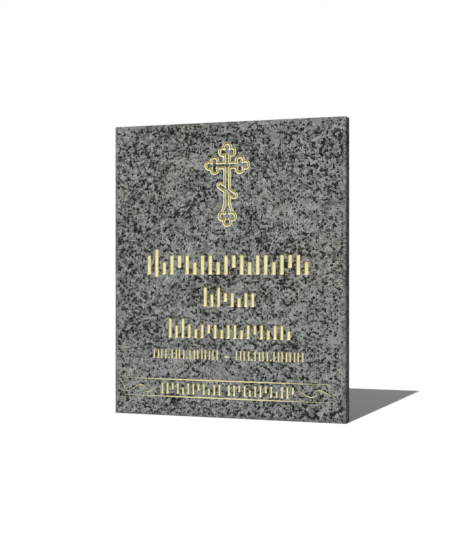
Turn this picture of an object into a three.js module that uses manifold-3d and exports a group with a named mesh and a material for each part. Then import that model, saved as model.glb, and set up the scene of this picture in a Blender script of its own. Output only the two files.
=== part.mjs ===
// Columbarium niche plaque: one granite slab with an engraved decoration.
//
// Millimetres, +Z up. The origin is the middle of the back face, the one that is fixed to the niche.
// +X points to the reader's right, and the engraved face looks along -Y.
//
// The slab is worked out lying on its back: x to the right, y up the face and z out of the stone,
// with z = 0 at the back. One turn about X stands it up at the end.

import * as THREE from 'three';
import { mergeVertices } from 'three/addons/utils/BufferGeometryUtils.js';
import Module from 'manifold-3d';

// Slab
const WIDTH = 330;
const HEIGHT = 400;
const THICKNESS = 20;
const FACE_CHAMFER = { width: 4, depth: 1 };

// Cuts: the depth of each kind of groove, and how far a wall leans in from the face to the floor
const BROAD_CUT = { depth: 1.2, lean: 0.8 };
const NARROW_CUT = { depth: 0.8, lean: 0.5 };
const CROSS_CUT = { depth: 0.5, lean: 1.2 };
const HAIR_CUT = { depth: 0.5, lean: 0.12 };
const OVERCUT = 0.2;

// Three-barred cross, drawn as one band round a figure of standing stone
const CROSS_MIDDLE = 1.4;
const CROSS_BAND = 4;
const STEM_HALF = 1.5;
const ARM_LEVEL = 141.5;
const LOBE = { radius: 3, linkHalf: 2.1 };
// Buds: three lobes at the end of a limb, one `reach` beyond the bud's middle and two `spread` beside it
const HEAD_BUD = { level: 159.5, reach: 6.2, spread: 6 };
const FOOT_BUD = { level: 72.5, reach: 7.3, spread: 6.7 };
const ARM_BUD = { offset: 18.2, reach: 7.5, spread: 5.6 };
const FOOTREST = { level: 107.6, halfLength: 12.2, halfWidth: 1.3, slope: -34.5 };
const FLARE = { top: 87.5, bottom: 78.5, edge: 1, half: 4.6 };
const LOBE_SEGMENTS = 18;
const BAR_SEGMENTS = 8;

// Broad rows: shallow upright strokes, evenly spaced. A row reaches half its length to both sides of its
// middle, and its strokes stand between base and top. Its tall ones, first to last, reach past both by
// the row's rise and drop. The rhythm gives the share of that height where a stroke starts and ends, and
// repeats along a row.
const BROAD_ROWS = [
  {
    middle: -0.6, half: 115.5, base: -6, top: 20.5, rise: 8.5, drop: 3,
    tall: [1, 1], stroke: 5.8, count: 21, start: 0,
  },
  {
    middle: 3.5, half: 36.5, base: -49.5, top: -30.5, rise: 7.5, drop: 0,
    tall: [0, 2], stroke: 5, count: 8, start: 1,
  },
  {
    middle: 2.8, half: 87, base: -92.5, top: -73.5, rise: 7.5, drop: 0,
    tall: [0, 2], stroke: 4.6, count: 19, start: 5,
  },
];
const BROAD_RHYTHM = [[0, 1], [0, 1], [0, 0.65], [0, 1], [0.35, 1], [0, 1], [0, 0.65]];
const STROKE_CORNER = 0.8;

// Fine row: two blocks of paired strokes in groups of two, two and four pairs, with a dot
// between groups and a dash between blocks
const FINE_ROW = { base: -121.3, top: -108.5, stroke: 2.4, pairHalf: 3.1, pitch: 11.1, groupGap: 4.3 };
const FINE_GROUPS = [2, 2, 4];
const FINE_MIDDLE = { x: 0.7, half: 12.5 };
const FINE_DOT = { radius: 1.4, segments: 4 };
const FINE_DASH = { half: 3, level: -117 };

// Band at the foot: two long rules, two groups of waisted strokes between them, a flourish at each end
const RULE = { levels: [-149.8, -173.4], middle: -4, half: 146, shoulder: 50, thick: 1.5, thin: 0.3 };
const BAND_ROW = { base: -169.5, top: -155, stroke: 3.4, waist: 2.5 };
const BAND_GROUPS = [
  { left: -95, right: -8, count: 12 },
  { left: 2, right: 95, count: 13 },
];
const BAND_RHYTHM = [[0, 1], [0, 1], [0.4, 1], [0, 1], [0, 0.6]];
const FLOURISH = { thin: 0.2, swell: 0.28, steps: 14 };
const FLOURISH_PLACES = [
  { x: 123.8, level: -162.3, stretch: 1 },
  { x: -120.7, level: -163.6, stretch: -0.9 },
];
const FLOURISH_CURVE = [[-23.7, 4], [-14, -2.2], [-2, -11], [2.2, 1.2]];

const GRANITE = { color: 0x6e706d, roughness: 0.25, metalness: 0 };

const wasm = await Module();
wasm.setup();

// Turn a closed geometry into a solid that can be joined and cut
function toSolid(geometry) {
  const bare = geometry.clone();
  bare.deleteAttribute('normal');
  bare.deleteAttribute('uv');
  const merged = mergeVertices(bare);
  return new wasm.Manifold(new wasm.Mesh({
    numProp: 3,
    vertProperties: new Float32Array(merged.attributes.position.array),
    triVerts: new Uint32Array(merged.index.array),
  }));
}

function toGeometry(solid) {
  const mesh = solid.getMesh();
  const geometry = new THREE.BufferGeometry();
  geometry.setAttribute('position', new THREE.BufferAttribute(mesh.vertProperties, 3));
  geometry.setIndex(new THREE.BufferAttribute(mesh.triVerts, 1));
  return geometry;
}

function joined(solids) {
  return solids.reduce((sum, solid) => sum.add(solid));
}

// Outlines

function polygon(points) {
  return new THREE.Shape(points.map(([x, y]) => new THREE.Vector2(x, y)));
}

function rectangle(left, bottom, right, top) {
  return polygon([[left, bottom], [right, bottom], [right, top], [left, top]]);
}

function disc(x, y, radius) {
  return new THREE.Shape().absarc(x, y, radius, 0, 2 * Math.PI);
}

// Rectangle with its corners cut off
function stroke(x, bottom, top, width) {
  const half = width / 2;
  const corner = Math.min(STROKE_CORNER, half / 2);
  return polygon([
    [x - half + corner, bottom], [x + half - corner, bottom],
    [x + half, bottom + corner], [x + half, top - corner],
    [x + half - corner, top], [x - half + corner, top],
    [x - half, top - corner], [x - half, bottom + corner],
  ]);
}

// Stroke that narrows to a waist halfway up, as a chisel leaves it
function waistedStroke(x, bottom, top, width, waist) {
  const middle = (bottom + top) / 2;
  return polygon([
    [x - width / 2, bottom], [x + width / 2, bottom], [x + waist / 2, middle],
    [x + width / 2, top], [x - width / 2, top], [x - waist / 2, middle],
  ]);
}

// Bar with round ends, from its middle out to (dx, dy) on both sides
function roundBar(x, y, dx, dy, half) {
  const angle = Math.atan2(dy, dx);
  const quarter = Math.PI / 2;
  const shape = new THREE.Shape();
  shape.absarc(x + dx, y + dy, half, angle - quarter, angle + quarter);
  shape.absarc(x - dx, y - dy, half, angle + quarter, angle + 3 * quarter);
  return shape;
}

// Line along a curve, thin at both ends and swelling between them
function swelledLine(curve, thin, swell, steps) {
  const left = [];
  const right = [];
  for (let i = 0; i <= steps; i += 1) {
    const t = i / steps;
    const half = thin + swell * Math.sin(Math.PI * t);
    const point = curve.getPoint(t);
    const across = curve.getTangent(t).rotateAround(new THREE.Vector2(), Math.PI / 2).multiplyScalar(half);
    left.push(point.clone().add(across));
    right.push(point.clone().sub(across));
  }
  return new THREE.Shape(right.concat(left.reverse()));
}

// Cuts

// Solid to cut away: the outline grown by `grow` at the face, narrowing to the floor of the cut
function groove(shape, cut, grow = 0, segments = 1) {
  const rise = cut.depth + OVERCUT;
  const geometry = new THREE.ExtrudeGeometry(shape, {
    depth: OVERCUT,
    curveSegments: segments,
    bevelSegments: 1,
    bevelThickness: rise,
    bevelSize: cut.lean * rise / cut.depth,
    bevelOffset: grow - cut.lean,
  });
  geometry.translate(0, 0, THICKNESS + OVERCUT);
  return toSolid(geometry);
}

// Stone left standing inside a cut: the outline grown by `grow` at the face, widening to the floor
function ridge(shape, cut, grow = 0, segments = 1) {
  const rise = cut.depth + 2 * OVERCUT;
  const slope = cut.lean / cut.depth;
  const geometry = new THREE.ExtrudeGeometry(shape, {
    depth: OVERCUT,
    curveSegments: segments,
    bevelSegments: 1,
    bevelThickness: rise,
    bevelSize: slope * rise,
    bevelOffset: grow - slope * OVERCUT,
  });
  geometry.translate(0, 0, THICKNESS - cut.depth - 2 * OVERCUT);
  return toSolid(geometry);
}

// Cross

// The lobes of a bud on a limb that points along (dx, dy), and the link that joins them across the limb
function budOutlines(x, y, dx, dy, { reach, spread }) {
  const { radius, linkHalf } = LOBE;
  return [
    { shape: disc(x + dx * reach, y + dy * reach, radius), segments: LOBE_SEGMENTS },
    { shape: disc(x + dy * spread, y + dx * spread, radius), segments: LOBE_SEGMENTS },
    { shape: disc(x - dy * spread, y - dx * spread, radius), segments: LOBE_SEGMENTS },
    { shape: roundBar(x, y, dy * spread, dx * spread, linkHalf), segments: BAR_SEGMENTS },
  ];
}

// The figure that the band of the cross follows
function crossOutlines() {
  const stemTop = HEAD_BUD.level + HEAD_BUD.reach;
  const stemBottom = FOOT_BUD.level - FOOT_BUD.reach;
  const slope = THREE.MathUtils.degToRad(FOOTREST.slope);
  const footrest = {
    dx: FOOTREST.halfLength * Math.cos(slope),
    dy: FOOTREST.halfLength * Math.sin(slope),
  };
  const { top, bottom, edge, half } = FLARE;
  const flare = polygon([
    [CROSS_MIDDLE - half, bottom], [CROSS_MIDDLE + half, bottom], [CROSS_MIDDLE + half, bottom + edge],
    [CROSS_MIDDLE + STEM_HALF, top], [CROSS_MIDDLE - STEM_HALF, top], [CROSS_MIDDLE - half, bottom + edge],
  ]);
  const bars = [
    roundBar(CROSS_MIDDLE, (stemTop + stemBottom) / 2, 0, (stemTop - stemBottom) / 2, STEM_HALF),
    roundBar(CROSS_MIDDLE, ARM_LEVEL, ARM_BUD.offset + ARM_BUD.reach, 0, STEM_HALF),
    roundBar(CROSS_MIDDLE, FOOTREST.level, footrest.dx, footrest.dy, FOOTREST.halfWidth),
  ];
  return [
    ...bars.map((shape) => ({ shape, segments: BAR_SEGMENTS })),
    { shape: flare, segments: 1 },
    ...budOutlines(CROSS_MIDDLE, HEAD_BUD.level, 0, 1, HEAD_BUD),
    ...budOutlines(CROSS_MIDDLE, FOOT_BUD.level, 0, -1, FOOT_BUD),
    ...budOutlines(CROSS_MIDDLE + ARM_BUD.offset, ARM_LEVEL, 1, 0, ARM_BUD),
    ...budOutlines(CROSS_MIDDLE - ARM_BUD.offset, ARM_LEVEL, -1, 0, ARM_BUD),
  ];
}

// The band round the figure, from its outline out
function crossCut() {
  const outlines = crossOutlines();
  const outer = joined(outlines.map(({ shape, segments }) => groove(shape, CROSS_CUT, CROSS_BAND, segments)));
  const figure = joined(outlines.map(({ shape, segments }) => ridge(shape, CROSS_CUT, 0, segments)));
  return outer.subtract(figure);
}

// Rows of strokes

// Even places for strokes of one width between two ends
function strokePlaces(left, right, width, count) {
  const pitch = (right - left - width) / (count - 1);
  return Array.from({ length: count }, (_, i) => left + width / 2 + pitch * i);
}

function broadRowCuts(row) {
  const [firstTall, lastTall] = row.tall;
  const { middle, half } = row;
  return strokePlaces(middle - half, middle + half, row.stroke, row.count).map((x, i) => {
    const isTall = i >= firstTall && i <= lastTall;
    const base = isTall ? row.base - row.drop : row.base;
    const height = (isTall ? row.top + row.rise : row.top) - base;
    const [low, high] = BROAD_RHYTHM[(i + row.start) % BROAD_RHYTHM.length];
    return groove(stroke(x, base + low * height, base + high * height, row.stroke), BROAD_CUT);
  });
}

// One block of the fine row, from its left end at `start`
function fineBlockCuts(start) {
  const { base, top, stroke: width, pairHalf, pitch, groupGap } = FINE_ROW;
  const cuts = [];
  let x = start;
  FINE_GROUPS.forEach((count, group) => {
    if (group > 0) {
      const dotX = x + (groupGap - pitch) / 2 + pairHalf + width / 2;
      const dotLevel = base + FINE_DOT.radius;
      cuts.push(groove(disc(dotX, dotLevel, FINE_DOT.radius), NARROW_CUT, 0, FINE_DOT.segments));
      x += groupGap;
    }
    for (let i = 0; i < count; i += 1) {
      const middle = x + pairHalf + width / 2;
      cuts.push(groove(stroke(middle - pairHalf, base, top, width), NARROW_CUT));
      cuts.push(groove(stroke(middle + pairHalf, base, top, width), NARROW_CUT));
      x += pitch;
    }
  });
  return cuts;
}

function fineRowCuts() {
  const { stroke: width, pairHalf, pitch, groupGap } = FINE_ROW;
  const pairs = FINE_GROUPS.reduce((sum, count) => sum + count);
  const block = pitch * (pairs - 1) + groupGap * (FINE_GROUPS.length - 1) + 2 * pairHalf + width;
  const { half, level } = FINE_DASH;
  const dash = rectangle(FINE_MIDDLE.x - half, level - width / 2, FINE_MIDDLE.x + half, level + width / 2);
  return [
    ...fineBlockCuts(FINE_MIDDLE.x - FINE_MIDDLE.half - block),
    groove(dash, NARROW_CUT),
    ...fineBlockCuts(FINE_MIDDLE.x + FINE_MIDDLE.half),
  ];
}

// Band at the foot

function ruleCuts() {
  const { levels, middle, half, shoulder, thick, thin } = RULE;
  const [left, right] = [middle - half, middle + half];
  const [leftShoulder, rightShoulder] = [middle - shoulder, middle + shoulder];
  return levels.map((level) => groove(polygon([
    [left, level - thin / 2], [leftShoulder, level - thick / 2], [rightShoulder, level - thick / 2],
    [right, level - thin / 2], [right, level + thin / 2], [rightShoulder, level + thick / 2],
    [leftShoulder, level + thick / 2], [left, level + thin / 2],
  ]), HAIR_CUT));
}

function bandGroupCuts({ left, right, count }) {
  const { base, top, stroke: width, waist } = BAND_ROW;
  const tall = top - base;
  return strokePlaces(left, right, width, count).map((x, i) => {
    const [low, high] = BAND_RHYTHM[i % BAND_RHYTHM.length];
    return groove(waistedStroke(x, base + low * tall, base + high * tall, width, waist), NARROW_CUT);
  });
}

// A flourish is one line and the same line turned half round; the left one is mirrored and a little shorter
function flourishCuts() {
  const { thin, swell, steps } = FLOURISH;
  const cuts = [];
  for (const place of FLOURISH_PLACES) {
    for (const turn of [1, -1]) {
      const points = FLOURISH_CURVE.map(([x, y]) => new THREE.Vector2(
        place.x + place.stretch * turn * x,
        place.level + turn * y,
      ));
      const curve = new THREE.CubicBezierCurve(...points);
      cuts.push(groove(swelledLine(curve, thin, swell, steps), HAIR_CUT));
    }
  }
  return cuts;
}

// Slab: chamfered round the face and square at the back
function slabSolid() {
  const { width, depth } = FACE_CHAMFER;
  const half = { x: WIDTH / 2 - width, y: HEIGHT / 2 - width };
  const block = new THREE.ExtrudeGeometry(rectangle(-half.x, -half.y, half.x, half.y), {
    depth: THICKNESS,
    bevelSegments: 1,
    bevelThickness: depth,
    bevelSize: width,
  });
  block.translate(0, 0, -depth);
  const behind = new THREE.BoxGeometry(2 * WIDTH, 2 * HEIGHT, THICKNESS);
  behind.translate(0, 0, -THICKNESS / 2);
  return toSolid(block).subtract(toSolid(behind));
}

function granitePlaque() {
  const cuts = [
    crossCut(),
    ...BROAD_ROWS.flatMap(broadRowCuts),
    ...fineRowCuts(),
    ...ruleCuts(),
    ...BAND_GROUPS.flatMap(bandGroupCuts),
    ...flourishCuts(),
  ];
  const geometry = toGeometry(slabSolid().subtract(joined(cuts)));
  const material = new THREE.MeshStandardMaterial({ ...GRANITE, flatShading: true });
  const mesh = new THREE.Mesh(geometry, material);
  mesh.name = 'granite_plaque';
  mesh.rotation.x = Math.PI / 2;
  return mesh;
}

const nichePlaque = new THREE.Group();
nichePlaque.name = 'niche_plaque';
nichePlaque.add(granitePlaque());

export default nichePlaque;
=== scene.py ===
"""A granite niche plaque with a gilded engraving, dressed for a plain studio picture.

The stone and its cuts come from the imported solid. This script eases the arrises, lays the gold
coat in the cuts, gives stone and gold their finishes and sets the floor, the light and the camera.
Lengths are in metres, unless a name ends in _mm, and colours are linear.
"""

import logging
import math
from dataclasses import dataclass
from enum import IntEnum

import bmesh
import bpy
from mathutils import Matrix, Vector


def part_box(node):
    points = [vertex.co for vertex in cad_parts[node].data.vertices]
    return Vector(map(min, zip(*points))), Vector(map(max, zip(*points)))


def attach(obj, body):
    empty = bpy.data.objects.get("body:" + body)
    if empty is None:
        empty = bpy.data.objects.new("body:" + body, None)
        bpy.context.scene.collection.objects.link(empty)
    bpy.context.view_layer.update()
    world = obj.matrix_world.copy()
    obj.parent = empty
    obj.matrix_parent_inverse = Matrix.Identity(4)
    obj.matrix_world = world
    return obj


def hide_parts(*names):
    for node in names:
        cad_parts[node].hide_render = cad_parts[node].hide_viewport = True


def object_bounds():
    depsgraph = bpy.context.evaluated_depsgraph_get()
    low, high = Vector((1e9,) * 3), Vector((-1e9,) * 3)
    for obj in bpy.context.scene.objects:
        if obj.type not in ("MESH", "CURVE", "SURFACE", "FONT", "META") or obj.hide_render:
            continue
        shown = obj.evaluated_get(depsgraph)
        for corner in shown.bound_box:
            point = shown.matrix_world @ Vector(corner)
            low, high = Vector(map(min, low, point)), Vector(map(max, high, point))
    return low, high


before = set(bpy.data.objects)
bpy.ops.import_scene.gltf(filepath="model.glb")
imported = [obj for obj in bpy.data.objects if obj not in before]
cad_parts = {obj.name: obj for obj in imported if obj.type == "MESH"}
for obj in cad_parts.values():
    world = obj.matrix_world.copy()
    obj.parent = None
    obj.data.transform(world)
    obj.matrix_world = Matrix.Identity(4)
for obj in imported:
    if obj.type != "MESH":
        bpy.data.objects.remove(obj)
CAD_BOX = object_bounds()
STONE_NODE = "granite_plaque"
STONE_LOW, STONE_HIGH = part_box(STONE_NODE)

LOG = logging.getLogger("niche_plaque")
MM = 0.001
BODY = "root"
MERGE_DISTANCE = 0.001 * MM
FLAT_ANGLE = math.radians(0.3)
# The plain border of the face, which holds the chamfer and no cut
BORDER = 6.0 * MM
# Where most of a noise node's values lie, with finer layers and without
FINE_NOISE = (0.25, 0.75)
PLAIN_NOISE = (0.28, 0.72)
# The places of a Mix node's sockets for colours
MIX_FACTOR, MIX_FIRST, MIX_SECOND, MIX_RESULT = 0, 6, 7, 2

Rgb = tuple[float, float, float]
Socket = bpy.types.NodeSocket
Feed = Socket | float | tuple[float, ...]
Span = tuple[float, float]


class Finish(IntEnum):
    """The slab's finishes, as the places of its materials."""

    POLISHED = 0
    GROUND = 1
    # The honed edges also carry painted shade in their colour
    HONED = 2
    SAWN = 3


class Leaf(IntEnum):
    """The gold's own colour and two darker copies of it that paint shade, as the places of its
    materials.
    """

    FULL = 0
    SPARE = 1
    WORN = 2


@dataclass
class Graph:
    """A node tree, with short ways to add nodes and join them."""

    tree: bpy.types.NodeTree

    def add(self, kind: str, **settings: object) -> bpy.types.Node:
        """Add a node.

        Args:
            kind: Blender's type name of the node.
            settings: Properties to set on it.

        Returns:
            The new node.
        """
        node = self.tree.nodes.new(kind)
        for name, value in settings.items():
            setattr(node, name, value)
        return node

    def feed(self, socket: Socket, value: Feed) -> None:
        """Join a socket to an input, or set the input's own value.

        Args:
            socket: The input.
            value: An output socket, a number, a vector or a colour.
        """
        if isinstance(value, bpy.types.NodeSocket):
            self.tree.links.new(value, socket)
        else:
            socket.default_value = value

    def math(self, operation: str, *values: Feed) -> Socket:
        """Work out a number.

        Args:
            operation: The Math node's operation.
            values: Its inputs in order.

        Returns:
            The result's socket.
        """
        node = self.add("ShaderNodeMath", operation=operation)
        for socket, value in zip(node.inputs, values):
            self.feed(socket, value)
        return node.outputs[0]

    def vector(self, operation: str, *values: Feed, scale: float | None = None) -> Socket:
        """Work out a vector.

        Args:
            operation: The Vector Math node's operation.
            values: Its vector inputs in order.
            scale: The factor of a SCALE operation.

        Returns:
            The result's socket.
        """
        node = self.add("ShaderNodeVectorMath", operation=operation)
        for socket, value in zip(node.inputs, values):
            self.feed(socket, value)
        if scale is not None:
            node.inputs["Scale"].default_value = scale
        return node.outputs[0]

    def span(self, value: Feed, start: float, end: float, low: Feed, high: Feed) -> Socket:
        """Map a number from one span to another, smoothly and within the new span.

        Args:
            value: The number.
            start: Where the old span starts.
            end: Where the old span ends.
            low: The result at the start.
            high: The result at the end.

        Returns:
            The result's socket.
        """
        node = self.add("ShaderNodeMapRange", interpolation_type="SMOOTHSTEP")
        for name, entry in zip(
            ("Value", "From Min", "From Max", "To Min", "To Max"), (value, start, end, low, high)
        ):
            self.feed(node.inputs[name], entry)
        return node.outputs["Result"]

    def mix(self, factor: Feed, first: Feed, second: Feed, blend: str = "MIX") -> Socket:
        """Mix two colours.

        Args:
            factor: How much of the second colour is used.
            first: The first colour.
            second: The second colour.
            blend: The way they are mixed.

        Returns:
            The mixed colour's socket.
        """
        node = self.add("ShaderNodeMix", data_type="RGBA", blend_type=blend)
        self.feed(node.inputs[MIX_FACTOR], factor)
        self.feed(node.inputs[MIX_FIRST], first)
        self.feed(node.inputs[MIX_SECOND], second)
        return node.outputs[MIX_RESULT]

    def tint(self, colour: Feed, *filters: Feed) -> Socket:
        """Multiply a colour by others, or by plain numbers.

        Args:
            colour: The colour.
            filters: What it is multiplied by, one after the other.

        Returns:
            The tinted colour's socket.
        """
        for entry in filters:
            colour = self.mix(1.0, colour, entry, blend="MULTIPLY")
        return colour

    def ramp(self, value: Feed, stops: tuple[tuple[float, Rgb], ...]) -> Socket:
        """Turn a number into a colour.

        Args:
            value: The number, from 0 to 1.
            stops: Places and colours along the ramp.

        Returns:
            The colour's socket.
        """
        node = self.add("ShaderNodeValToRGB")
        elements = node.color_ramp.elements
        while len(elements) < len(stops):
            elements.new(1.0)
        for element, (place, colour) in zip(elements, stops):
            element.position = place
            element.color = (*colour, 1.0)
        self.feed(node.inputs["Fac"], value)
        return node.outputs["Color"]

    def noise(self, place: Socket, size: float, detail: float = 2.0) -> bpy.types.Node:
        """Add cloudy noise.

        Args:
            place: The coordinates.
            size: The size of its largest clouds, in the coordinates' unit.
            detail: How many finer layers it has.

        Returns:
            The noise node.
        """
        node = self.add("ShaderNodeTexNoise", noise_dimensions="3D")
        self.feed(node.inputs["Vector"], place)
        node.inputs["Scale"].default_value = 1.0 / size
        node.inputs["Detail"].default_value = detail
        return node

    def cells(self, place: Socket, size: float) -> bpy.types.Node:
        """Add a mosaic of cells, each with a random colour of its own.

        Args:
            place: The coordinates.
            size: The cells' usual width, in the coordinates' unit.

        Returns:
            The cell node.
        """
        node = self.add("ShaderNodeTexVoronoi", voronoi_dimensions="3D", feature="F1")
        self.feed(node.inputs["Vector"], place)
        node.inputs["Scale"].default_value = 1.0 / size
        return node

    def warp(self, place: Socket, size: float, reach: float) -> Socket:
        """Bend coordinates with noise, so that cells get crooked borders.

        Args:
            place: The coordinates.
            size: The size of the bends.
            reach: How far they go at most.

        Returns:
            The bent coordinates' socket.
        """
        shift = self.vector("SUBTRACT", self.noise(place, size).outputs["Color"], (0.5, 0.5, 0.5))
        return self.vector("ADD", place, self.vector("SCALE", shift, scale=2.0 * reach))

    def channel(self, colour: Socket, name: str) -> Socket:
        """Take one channel of a colour.

        Args:
            colour: The colour.
            name: Red, Green or Blue.

        Returns:
            The channel's socket.
        """
        node = self.add("ShaderNodeSeparateColor")
        self.feed(node.inputs["Color"], colour)
        return node.outputs[name]

    def group(self, tree: bpy.types.NodeTree, **values: Feed) -> bpy.types.Node:
        """Place a node group.

        Args:
            tree: The group.
            values: Its inputs by name.

        Returns:
            The group's node.
        """
        node = self.add("ShaderNodeGroup", node_tree=tree)
        for name, value in values.items():
            self.feed(node.inputs[name], value)
        return node


def new_group(name: str, inputs: dict[str, str], outputs: dict[str, str]) -> Graph:
    """Start a shader node group with named sockets.

    Args:
        name: The group's name.
        inputs: Its inputs, as name and kind of socket.
        outputs: Its outputs, as name and kind of socket.

    Returns:
        The graph of the new group.
    """
    tree = bpy.data.node_groups.new(name, "ShaderNodeTree")
    for in_out, sockets in (("INPUT", inputs), ("OUTPUT", outputs)):
        for label, kind in sockets.items():
            tree.interface.new_socket(label, in_out=in_out, socket_type=f"NodeSocket{kind}")
    return Graph(tree)


def new_material(name: str) -> tuple[bpy.types.Material, Graph, bpy.types.Node]:
    """Start a material that has only its shader and its output.

    Args:
        name: The material's name.

    Returns:
        The material, its graph and its Principled shader.
    """
    material = bpy.data.materials.new(name)
    material.use_nodes = True
    graph = Graph(material.node_tree)
    graph.tree.nodes.clear()
    shader = graph.add("ShaderNodeBsdfPrincipled")
    graph.feed(graph.add("ShaderNodeOutputMaterial").inputs["Surface"], shader.outputs["BSDF"])
    return material, graph, shader


@dataclass(frozen=True)
class SoftMottle:
    """Cloudy unevenness about one, which any finish multiplies into its colour or gloss."""

    name: str = "soft_mottle"
    detail: float = 3.0

    def make(self) -> bpy.types.NodeTree:
        """Build the group.

        Returns:
            A node group with the inputs Vector, Size and Amount and the output Value.
        """
        graph = new_group(
            self.name,
            {"Vector": "Vector", "Size": "Float", "Amount": "Float"},
            {"Value": "Float"},
        )
        inlet = graph.add("NodeGroupInput")
        outlet = graph.add("NodeGroupOutput")
        noise = graph.noise(inlet.outputs["Vector"], 1.0, self.detail)
        graph.feed(noise.inputs["Scale"], graph.math("DIVIDE", 1.0, inlet.outputs["Size"]))
        swing = graph.math("MULTIPLY_ADD", noise.outputs["Fac"], 2.0, -1.0)
        value = graph.math("MULTIPLY_ADD", swing, inlet.outputs["Amount"], 1.0)
        graph.feed(outlet.inputs["Value"], value)
        return graph.tree


@dataclass(frozen=True)
class GraniteGrain:
    """The crystals of the granite, which every finish of the stone shows.

    Pale feldspar and grey quartz make a mosaic, and small dark flecks of mica lie between them,
    thick in some places and thin in others.
    """

    name: str = "granite_grain"
    feldspar_mm: float = 6.0
    feldspar_bend_mm: Span = (3.0, 2.4)
    cloud_mm: float = 1.5
    cloud_shades: Span = (0.65, 1.35)
    shade_mm: float = 12.0
    shade_shades: Span = (0.9, 1.1)
    patch_mm: float = 90.0
    streak_turn: float = math.radians(38.0)
    streak_spread: float = 1.2
    streak_stretch: Rgb = (0.2, 0.5, 1.2)
    streak_crystals: Span = (0.7, 0.78)
    streak_lines: Span = (0.56, 0.64)
    streak_strength: float = 0.8
    glint_mm: float = 1.2
    glint_share: float = 0.05
    glint_strength: float = 0.9
    pale: Rgb = (0.42, 0.425, 0.405)
    fleck_mm: float = 2.9
    fleck_bend_mm: Span = (2.4, 0.6)
    fleck_share: float = 0.768
    fleck_rounding: float = 0.7
    fleck_raggedness: float = 0.2
    fleck_rag_mm: float = 1.2
    fleck_edge: Span = (-0.02, 0.02)
    fleck_sheen: Span = (1.3, 0.6)
    crowd_mm: float = 9.0
    crowding: float = 1.3
    drift_mm: float = 60.0
    drifting: float = 0.9
    speck_mm: float = 1.5
    speck_share: float = 0.13
    speck_edge: float = 0.03
    speck_strength: float = 0.75

    def make(self) -> bpy.types.NodeTree:
        """Build the group.

        Returns:
            A node group with the input Vector and the outputs Color and Fleck.
        """
        graph = new_group(
            self.name, {"Vector": "Vector"}, {"Color": "Color", "Fleck": "Float"}
        )
        inlet = graph.add("NodeGroupInput")
        outlet = graph.add("NodeGroupOutput")
        place = graph.vector("SCALE", inlet.outputs["Vector"], scale=1.0 / MM)
        ground = self.mosaic(graph, place)
        fleck, tone = self.flecks(graph, place)
        stone = graph.mix(fleck, ground, tone)
        graph.feed(outlet.inputs["Color"], graph.tint(stone, self.weathering(graph, place)))
        graph.feed(outlet.inputs["Fleck"], fleck)
        return graph.tree

    def mosaic(self, graph: Graph, place: Socket) -> Socket:
        """Make the pale ground of feldspar and quartz.

        Args:
            graph: The group's graph.
            place: Coordinates in millimetres.

        Returns:
            The ground's colour.
        """
        bent = graph.warp(place, *self.feldspar_bend_mm)
        cell = graph.cells(bent, self.feldspar_mm).outputs["Color"]
        tone = graph.ramp(
            graph.channel(cell, "Red"),
            (
                (0.0, (0.121, 0.124, 0.122)),
                (0.25, (0.176, 0.179, 0.173)),
                (0.7, (0.207, 0.211, 0.202)),
                (1.0, (0.240, 0.244, 0.234)),
            ),
        )
        warmth = graph.ramp(
            graph.channel(cell, "Green"),
            ((0.0, (1.02, 1.0, 0.965)), (0.5, (1.0, 1.0, 1.0)), (1.0, (0.975, 0.998, 1.028))),
        )
        cast = graph.ramp(
            graph.channel(cell, "Blue"), ((0.0, (1.016, 0.981, 1.014)), (1.0, (0.984, 1.019, 0.981)))
        )
        fine = graph.noise(place, self.cloud_mm, 3.0).outputs["Fac"]
        cloud = graph.span(fine, *FINE_NOISE, *self.cloud_shades)
        broad = graph.noise(place, self.shade_mm, 1.0).outputs["Fac"]
        shade = graph.span(broad, *PLAIN_NOISE, *self.shade_shades)
        patchy = graph.tint(tone, warmth, cast, graph.math("MULTIPLY", cloud, shade))
        return self.streaks(graph, place, cell, patchy)

    def weathering(self, graph: Graph, place: Socket) -> Socket:
        """Make the broad warm and cool, rosy and green patches that run across all crystals.

        Args:
            graph: The group's graph.
            place: Coordinates in millimetres.

        Returns:
            A tint close to white.
        """
        patch = graph.noise(place, self.patch_mm, 3.0).outputs["Color"]
        warmth = graph.ramp(
            graph.channel(patch, "Red"),
            (
                (0.32, (0.969, 1.004, 1.042)),
                (0.5, (0.999, 1.009, 1.0)),
                (0.68, (1.034, 1.004, 0.944)),
            ),
        )
        cast = graph.ramp(
            graph.channel(patch, "Green"),
            ((0.34, (1.008, 0.989, 1.006)), (0.66, (0.99, 1.014, 0.988))),
        )
        return graph.tint(warmth, cast)

    def streaks(self, graph: Graph, place: Socket, cell: Socket, ground: Socket) -> Socket:
        """Draw the short pale lines that some feldspar crystals show, and small pale specks between them
        as painted glints.

        Args:
            graph: The group's graph.
            place: Coordinates in millimetres.
            cell: The crystals' random colours.
            ground: The ground's colour so far.

        Returns:
            The ground's colour with the streaks and the painted glints.
        """
        turn = graph.add("ShaderNodeVectorRotate", rotation_type="Y_AXIS")
        graph.feed(turn.inputs["Vector"], place)
        chance = graph.channel(cell, "Green")
        angle = graph.math("MULTIPLY_ADD", chance, self.streak_spread, self.streak_turn)
        graph.feed(turn.inputs["Angle"], angle)
        drawn_out = graph.vector("MULTIPLY", turn.outputs["Vector"], self.streak_stretch)
        line = graph.noise(drawn_out, 1.0, 1.0).outputs["Fac"]
        streaky = graph.channel(cell, "Blue")
        shows = graph.span(streaky, *self.streak_crystals, 0.0, self.streak_strength)
        streak = graph.math("MULTIPLY", graph.span(line, *self.streak_lines, 0.0, 1.0), shows)
        # Small pale specks that are painted glints, the sparkle of the crystals
        glint_spots = graph.channel(graph.cells(place, self.glint_mm).outputs["Color"], "Green")
        dimmest = 1.0 - self.glint_share
        brightest = 1.0 - 0.6 * self.glint_share
        glint = graph.span(glint_spots, dimmest, brightest, 0.0, self.glint_strength)
        return graph.mix(graph.math("MAXIMUM", streak, glint), ground, (*self.pale, 1.0))

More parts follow.
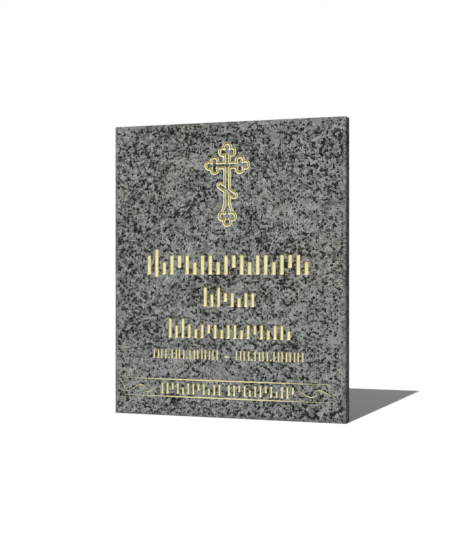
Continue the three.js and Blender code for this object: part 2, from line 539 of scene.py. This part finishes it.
    def flecks(self, graph: Graph, place: Socket) -> tuple[Socket, Socket]:
        """Make the dark flecks of mica, which are crystals with ragged edges, and finer specks.

        Args:
            graph: The group's graph.
            place: Coordinates in millimetres.

        Returns:
            Where the flecks are, and their colour with painted sheen.
        """
        bent = graph.warp(place, *self.fleck_bend_mm)
        crystal = graph.cells(bent, self.fleck_mm)
        cell = crystal.outputs["Color"]
        crowd = graph.noise(place, self.crowd_mm, 2.0).outputs["Fac"]
        drift = graph.noise(place, self.drift_mm, 1.0).outputs["Fac"]
        start = self.fleck_share - 0.5 * (self.crowding + self.drifting)
        limit = graph.math("MULTIPLY_ADD", crowd, self.crowding, start)
        limit = graph.math("MULTIPLY_ADD", drift, self.drifting, limit)
        over = graph.math("SUBTRACT", limit, graph.channel(cell, "Red"))
        over = graph.math("MULTIPLY_ADD", crystal.outputs["Distance"], -self.fleck_rounding, over)
        rag = graph.noise(place, self.fleck_rag_mm, 3.0).outputs["Fac"]
        nibble = graph.span(rag, *FINE_NOISE, -self.fleck_raggedness, self.fleck_raggedness)
        over = graph.math("ADD", over, nibble)
        fleck = graph.span(over, *self.fleck_edge, 0.0, 1.0)
        small = graph.channel(graph.cells(bent, self.speck_mm).outputs["Color"], "Red")
        sure = self.speck_share - self.speck_edge
        speck = graph.span(small, self.speck_share, sure, 0.0, self.speck_strength)
        tone = graph.ramp(
            graph.channel(cell, "Green"),
            (
                (0.0, (0.0061, 0.006, 0.0056)),
                (0.5, (0.0185, 0.018, 0.017)),
                (0.8, (0.059, 0.058, 0.055)),
                (1.0, (0.111, 0.110, 0.105)),
            ),
        )
        # Painted sheen: the mica flecks lighter or darker by noise, as if catching the light
        sheen = graph.span(rag, *FINE_NOISE, *self.fleck_sheen)
        return graph.math("MAXIMUM", fleck, speck), graph.tint(tone, sheen)


@dataclass(frozen=True)
class SmoothGranite:
    """Granite ground smooth, a little duller on the flecks, under a thin layer of a second colour: stone
    dust on one finish, painted shade on another.
    """

    grain: bpy.types.NodeTree
    mottle: bpy.types.NodeTree
    name: str
    roughness: float
    shine: float
    dust_and_shade: Rgb
    dust_and_shade_share: float
    haze_size: float = 30.0 * MM
    haze: float = 0.25
    fleck_dulling: float = 0.06
    pit_strength: float = 0.5
    pit_depth: float = 0.012 * MM

    def make(self) -> bpy.types.Material:
        """Build the material.

        Returns:
            The smooth granite.
        """
        material, graph, shader = new_material(self.name)
        place = graph.add("ShaderNodeTexCoord").outputs["Object"]
        grain = graph.group(self.grain, Vector=place)
        graph.feed(
            shader.inputs["Base Color"],
            graph.mix(self.dust_and_shade_share, grain.outputs["Color"], (*self.dust_and_shade, 1.0)),
        )
        haze = graph.group(self.mottle, Vector=place, Size=self.haze_size, Amount=self.haze)
        hazy = graph.math("MULTIPLY", haze.outputs["Value"], self.roughness)
        dulled = graph.math("MULTIPLY_ADD", grain.outputs["Fleck"], self.fleck_dulling, hazy)
        graph.feed(shader.inputs["Roughness"], dulled)
        shader.inputs["Specular IOR Level"].default_value = self.shine
        bump = graph.add("ShaderNodeBump", invert=True)
        bump.inputs["Strength"].default_value = self.pit_strength
        bump.inputs["Distance"].default_value = self.pit_depth
        graph.feed(bump.inputs["Height"], grain.outputs["Fleck"])
        graph.feed(shader.inputs["Normal"], bump.outputs["Normal"])
        return material


@dataclass(frozen=True)
class SawnGranite:
    """Granite as the saw left it: paler, dull and faintly ridged."""

    grain: bpy.types.NodeTree
    mottle: bpy.types.NodeTree
    name: str = "sawn_granite"
    roughness: float = 0.72
    dust: Rgb = (0.27, 0.27, 0.26)
    dust_share: float = 0.35
    patch_size: float = 45.0 * MM
    patching: float = 0.3
    ridge_mm: float = 5.0
    ridge_waver: float = 1.5
    ridge_detail: float = 3.0
    ridge_strength: float = 0.6
    ridge_depth: float = 0.12 * MM
    # The length of a Wave node's bands at a scale of one
    wave_length: float = 0.314

    def make(self) -> bpy.types.Material:
        """Build the material.

        Returns:
            The sawn granite.
        """
        material, graph, shader = new_material(self.name)
        place = graph.add("ShaderNodeTexCoord").outputs["Object"]
        grain = graph.group(self.grain, Vector=place)
        patch = graph.group(self.mottle, Vector=place, Size=self.patch_size, Amount=self.patching)
        patchy = patch.outputs["Value"]
        share = graph.math("MULTIPLY", patchy, self.dust_share)
        graph.feed(
            shader.inputs["Base Color"],
            graph.mix(share, grain.outputs["Color"], (*self.dust, 1.0)),
        )
        graph.feed(shader.inputs["Roughness"], graph.math("MULTIPLY", patchy, self.roughness))
        ridge = graph.add("ShaderNodeTexWave", wave_type="BANDS", bands_direction="Z")
        graph.feed(ridge.inputs["Vector"], graph.vector("SCALE", place, scale=1.0 / MM))
        ridge.inputs["Scale"].default_value = self.wave_length / self.ridge_mm
        ridge.inputs["Distortion"].default_value = self.ridge_waver
        ridge.inputs["Detail"].default_value = self.ridge_detail
        bump = graph.add("ShaderNodeBump")
        bump.inputs["Strength"].default_value = self.ridge_strength
        bump.inputs["Distance"].default_value = self.ridge_depth
        graph.feed(bump.inputs["Height"], ridge.outputs["Fac"])
        graph.feed(shader.inputs["Normal"], bump.outputs["Normal"])
        return material


@dataclass(frozen=True)
class SatinGold:
    """The gold coat in the cuts: satin, a little uneven, as brushed on by hand."""

    mottle: bpy.types.NodeTree
    name: str
    colour: Rgb
    deep_colour: Rgb
    metal: float = 0.25
    roughness: float = 0.42
    cloud_size: float = 9.0 * MM
    clouding: float = 0.5
    cloud_reach: Span = (0.85, 1.15)
    brush_size: float = 0.9 * MM
    brushing: float = 0.35
    brush_strength: float = 0.5
    brush_depth: float = 0.03 * MM

    def make(self) -> bpy.types.Material:
        """Build the material.

        Returns:
            The satin gold.
        """
        material, graph, shader = new_material(self.name)
        place = graph.add("ShaderNodeTexCoord").outputs["Object"]
        cloud = graph.group(self.mottle, Vector=place, Size=self.cloud_size, Amount=self.clouding)
        share = graph.span(cloud.outputs["Value"], *self.cloud_reach, 1.0, 0.0)
        graph.feed(
            shader.inputs["Base Color"],
            graph.mix(share, (*self.colour, 1.0), (*self.deep_colour, 1.0)),
        )
        shader.inputs["Metallic"].default_value = self.metal
        brush = graph.group(self.mottle, Vector=place, Size=self.brush_size, Amount=self.brushing)
        uneven = brush.outputs["Value"]
        graph.feed(shader.inputs["Roughness"], graph.math("MULTIPLY", uneven, self.roughness))
        bump = graph.add("ShaderNodeBump")
        bump.inputs["Strength"].default_value = self.brush_strength
        bump.inputs["Distance"].default_value = self.brush_depth
        graph.feed(bump.inputs["Height"], uneven)
        graph.feed(shader.inputs["Normal"], bump.outputs["Normal"])
        return material


def merged_copy(node: str) -> bmesh.types.BMesh:
    """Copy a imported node's mesh, with its loose triangles joined and its stored normals dropped.

    Args:
        node: The node's name.

    Returns:
        The joined mesh.
    """
    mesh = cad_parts[node].data.copy()
    stored = mesh.attributes.get("custom_normal")
    if stored is not None:
        mesh.attributes.remove(stored)
    bm = bmesh.new()
    bm.from_mesh(mesh)
    bpy.data.meshes.remove(mesh)
    bmesh.ops.remove_doubles(bm, verts=bm.verts[:], dist=MERGE_DISTANCE)
    return bm


def in_border(place: Vector, slack: float = 0.0) -> bool:
    """Tell whether a point lies in the plain border of the slab.

    Args:
        place: The point.
        slack: How far past the border's inner line it has to lie.

    Returns:
        True if it does.
    """
    return (
        abs(place.x) > STONE_HIGH.x - BORDER + slack or abs(place.z) > STONE_HIGH.z - BORDER + slack
    )


def make_piece(
    bm: bmesh.types.BMesh, name: str, materials: list[bpy.types.Material], sharp: float
) -> bpy.types.Object:
    """Turn a bmesh into a finished piece that rides with the plaque.

    Args:
        bm: The mesh, which is freed.
        name: The piece's name.
        materials: Its materials in order.
        sharp: Edges sharper than this angle stay crisp.

    Returns:
        The piece's object.
    """
    mesh = bpy.data.meshes.new(name)
    bm.to_mesh(mesh)
    bm.free()
    for material in materials:
        mesh.materials.append(material)
    mesh.set_sharp_from_angle(angle=sharp)
    piece = bpy.data.objects.new(name, mesh)
    bpy.context.scene.collection.objects.link(piece)
    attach(piece, BODY)
    return piece


@dataclass
class StoneSlab:
    """The granite slab: eased arrises, a polished face in a ground chamfer, honed edges darkened with
    painted shade, a sawn back.
    """

    finishes: dict[Finish, bpy.types.Material]
    arris: float = 0.4 * MM
    arris_segments: int = 4
    chamfer_depth: float = 1.1 * MM
    face_level: float = math.cos(math.radians(7.0))
    crisp_angle: float = math.radians(40.0)

    def build(self) -> bpy.types.Object:
        """Make the slab.

        Returns:
            The slab's object, in place of the plain solid.
        """
        bm = merged_copy(STONE_NODE)
        self.ease_arrises(bm)
        self.mark_finishes(bm)
        materials = [self.finishes[finish] for finish in Finish]
        slab = make_piece(bm, "granite_slab", materials, self.crisp_angle)
        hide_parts(STONE_NODE)
        return slab

    def ease_arrises(self, bm: bmesh.types.BMesh) -> None:
        """Round off the edges of the slab's outline, front and back.

        The border is first parted from the rest all round, so that its faces are few and plain.

        Args:
            bm: The slab's mesh.
        """
        side = STONE_HIGH.x - BORDER
        end = STONE_HIGH.z - BORDER
        for x, z in ((side, 0.0), (-side, 0.0), (0.0, end), (0.0, -end)):
            bmesh.ops.bisect_plane(
                bm,
                geom=bm.verts[:] + bm.edges[:] + bm.faces[:],
                dist=MERGE_DISTANCE,
                plane_co=Vector((x, 0.0, z)),
                plane_no=Vector((x, 0.0, z)),
            )
        outside = [vert for vert in bm.verts if in_border(vert.co, MERGE_DISTANCE)]
        reached = set(outside)
        bmesh.ops.dissolve_limit(
            bm,
            angle_limit=FLAT_ANGLE,
            use_dissolve_boundaries=False,
            verts=outside,
            edges=[edge for edge in bm.edges if not reached.isdisjoint(edge.verts)],
            delimit=set(),
        )
        outline = [
            edge
            for edge in bm.edges
            if all(in_border(vert.co) for vert in edge.verts)
            and edge.calc_face_angle(0.0) > self.crisp_angle
        ]
        for face in bm.faces:
            face.smooth = False
        eased = bmesh.ops.bevel(
            bm,
            geom=outline,
            offset=self.arris,
            offset_type="OFFSET",
            affect="EDGES",
            segments=self.arris_segments,
            profile=0.5,
            material=-1,
            clamp_overlap=False,
        )
        for face in eased["faces"]:
            face.smooth = True

    def mark_finishes(self, bm: bmesh.types.BMesh) -> None:
        """Give the back, the edges and the chamfer finishes of their own.

        Args:
            bm: The slab's mesh.
        """
        for face in bm.faces:
            middle = face.calc_center_median()
            if abs(middle.y - STONE_HIGH.y) < MERGE_DISTANCE:
                face.material_index = Finish.SAWN
            elif middle.y > STONE_LOW.y + self.chamfer_depth:
                # The edges take the honed finish, whose dark tint is painted shade
                face.material_index = Finish.HONED
            elif in_border(middle) and abs(face.normal.y) < self.face_level:
                face.material_index = Finish.GROUND
            else:
                face.material_index = Finish.POLISHED


@dataclass
class Gilding:
    """The gold coat that lines every cut of the engraving.

    In the rows the gold keeps its own colour on the floors and on the walls that look up, and a darker
    copy paints shade on the other walls. In the band of the cross it keeps its own colour on the slopes,
    a darker copy paints shade where they look down, and a darker one still paints shade on the floor.
    """

    leaves: dict[Leaf, bpy.types.Material]
    coat: float = 0.1 * MM
    set_back: float = 0.02 * MM
    level: float = math.cos(math.radians(10.0))
    upward: float = math.sin(math.radians(20.0))
    downward: float = -math.sin(math.radians(12.0))
    cross_foot: float = 55.0 * MM
    crisp_angle: float = math.radians(32.0)

    def build(self) -> bpy.types.Object:
        """Make the coat.

        Returns:
            The coat's object.
        """
        bm = merged_copy(STONE_NODE)
        bare = [face for face in bm.faces if not self.in_cut(face)]
        bmesh.ops.delete(bm, geom=bare, context="FACES")
        bmesh.ops.solidify(bm, geom=bm.faces[:], thickness=-self.coat)
        rim = STONE_LOW.y + self.set_back
        for vert in bm.verts:
            vert.co.y = max(vert.co.y, rim)
        bmesh.ops.recalc_face_normals(bm, faces=bm.faces[:])
        for face in bm.faces:
            face.smooth = True
            face.material_index = self.leaf_on(face)
        coat = make_piece(bm, "gilding", [self.leaves[leaf] for leaf in Leaf], self.crisp_angle)
        return coat

    def leaf_on(self, face: bmesh.types.BMFace) -> Leaf:
        """Choose for a face of the coat the gold's own colour or a darker copy that paints shade, by the
        way the face looks.

        Args:
            face: The face.

        Returns:
            The place of its material.
        """
        is_floor = abs(face.normal.y) > self.level
        # Walls that look down or aside, and the floor of the cross's band, take the gold with painted
        # shade
        if face.calc_center_median().z > self.cross_foot:
            if is_floor:
                return Leaf.WORN
            return Leaf.SPARE if face.normal.z < self.downward else Leaf.FULL
        return Leaf.FULL if is_floor or face.normal.z > self.upward else Leaf.SPARE

    def in_cut(self, face: bmesh.types.BMFace) -> bool:
        """Tell whether a face is a wall or a floor of a cut.

        Args:
            face: A face of the slab.

        Returns:
            True if it lies below the polished face and inside its border.
        """
        middle = face.calc_center_median()
        half_way = 0.5 * (STONE_LOW.y + STONE_HIGH.y)
        return not in_border(middle) and STONE_LOW.y + MERGE_DISTANCE < middle.y < half_way


@dataclass
class Studio:
    """The pale floor, the light and the camera."""

    floor_span: float = 60.0
    floor_colour: Rgb = (0.95, 0.95, 0.95)
    floor_bounce: Rgb = (0.56, 0.56, 0.56)
    floor_roughness: float = 0.9
    sun_travel: Rgb = (0.0443, 0.7056, -0.7071)
    sun_strength: float = 3.8
    sun_angle: float = math.radians(0.8)
    sky_level: float = 0.24
    view_turn: float = math.radians(19.56)
    view_place: Rgb = (0.4933, -1.3988, 0.0014)
    lens_mm: float = 72.67
    sensor_mm: float = 36.0

    def build(self) -> None:
        """Set up the studio."""
        self.lay_floor()
        self.light()
        self.place_camera()
        bpy.context.scene.view_settings.view_transform = "Standard"

    def lay_floor(self) -> None:
        """Lay the floor under the plaque's lower edge."""
        material, graph, shader = new_material("studio_floor")
        seen = graph.add("ShaderNodeLightPath").outputs["Is Camera Ray"]
        graph.feed(
            shader.inputs["Base Color"],
            graph.mix(seen, (*self.floor_bounce, 1.0), (*self.floor_colour, 1.0)),
        )
        shader.inputs["Roughness"].default_value = self.floor_roughness
        shader.inputs["Specular IOR Level"].default_value = 0.0
        bm = bmesh.new()
        bmesh.ops.create_grid(bm, x_segments=1, y_segments=1, size=0.5 * self.floor_span)
        bmesh.ops.translate(bm, vec=Vector((0.0, 0.0, CAD_BOX[0][2])), verts=bm.verts[:])
        mesh = bpy.data.meshes.new("studio_floor")
        bm.to_mesh(mesh)
        bm.free()
        mesh.materials.append(material)
        floor = bpy.data.objects.new("studio_floor", mesh)
        bpy.context.scene.collection.objects.link(floor)

    def light(self) -> None:
        """Light the plaque by one high lamp and an even sky that the camera sees as white."""
        data = bpy.data.lights.new("key_light", "SUN")
        data.energy = self.sun_strength
        data.angle = self.sun_angle
        lamp = bpy.data.objects.new("key_light", data)
        lamp.rotation_euler = Vector(self.sun_travel).to_track_quat("-Z", "Y").to_euler()
        bpy.context.scene.collection.objects.link(lamp)

        world = bpy.data.worlds.new("studio_sky")
        bpy.context.scene.world = world
        world.use_nodes = True
        graph = Graph(world.node_tree)
        graph.tree.nodes.clear()
        sky = graph.add("ShaderNodeBackground")
        seen = graph.add("ShaderNodeLightPath").outputs["Is Camera Ray"]
        graph.feed(sky.inputs["Strength"], graph.span(seen, 0.0, 1.0, self.sky_level, 1.0))
        sky.inputs["Color"].default_value = (1.0, 1.0, 1.0, 1.0)
        graph.feed(graph.add("ShaderNodeOutputWorld").inputs["Surface"], sky.outputs["Background"])

    def place_camera(self) -> None:
        """Set the camera level with the plaque's middle and to its right."""
        data = bpy.data.cameras.new("camera")
        data.lens = self.lens_mm
        data.sensor_width = self.sensor_mm
        camera = bpy.data.objects.new("camera", data)
        camera.location = self.view_place
        camera.rotation_euler = (math.radians(90.0), 0.0, self.view_turn)
        bpy.context.scene.collection.objects.link(camera)
        bpy.context.scene.camera = camera


def main() -> None:
    """Build the plaque and its studio, and log each piece's count of faces."""
    logging.basicConfig(level=logging.INFO, format="%(name)s: %(message)s")
    mottle = SoftMottle().make()
    grain = GraniteGrain().make()
    stone_dust = (0.16, 0.162, 0.155)
    # A near-black tint on the edges, which is painted shade
    painted_edge_shade = (0.018, 0.020, 0.026)
    slab = StoneSlab(
        {
            Finish.POLISHED: SmoothGranite(
                grain,
                mottle,
                "polished_granite",
                roughness=0.25,
                shine=0.2,
                dust_and_shade=stone_dust,
                dust_and_shade_share=0.0,
            ).make(),
            Finish.GROUND: SmoothGranite(
                grain,
                mottle,
                "ground_granite",
                roughness=0.6,
                shine=0.1,
                dust_and_shade=stone_dust,
                dust_and_shade_share=0.4,
            ).make(),
            Finish.HONED: SmoothGranite(
                grain,
                mottle,
                "honed_granite",
                roughness=0.75,
                shine=0.05,
                # This dark tint paints shade on the edges
                dust_and_shade=painted_edge_shade,
                dust_and_shade_share=0.3,
            ).make(),
            Finish.SAWN: SawnGranite(grain, mottle).make(),
        }
    )
    gilding = Gilding(
        {
            Leaf.FULL: SatinGold(
                mottle, "unshaded_gold", colour=(0.83, 0.765, 0.43), deep_colour=(0.72, 0.655, 0.33)
            ).make(),
            # Darker copies of the gold, whose colours are painted shade in the cuts
            Leaf.SPARE: SatinGold(
                mottle, "painted_shade_gold", colour=(0.34, 0.295, 0.105), deep_colour=(0.27, 0.235, 0.075)
            ).make(),
            Leaf.WORN: SatinGold(
                mottle, "deep_painted_shade_gold", colour=(0.27, 0.235, 0.085), deep_colour=(0.19, 0.165, 0.06)
            ).make(),
        }
    )
    for part in (slab, gilding):
        piece = part.build()
        LOG.info("%s: %d faces", piece.name, len(piece.data.polygons))
    Studio().build()


if __name__ == "__main__":
    main()
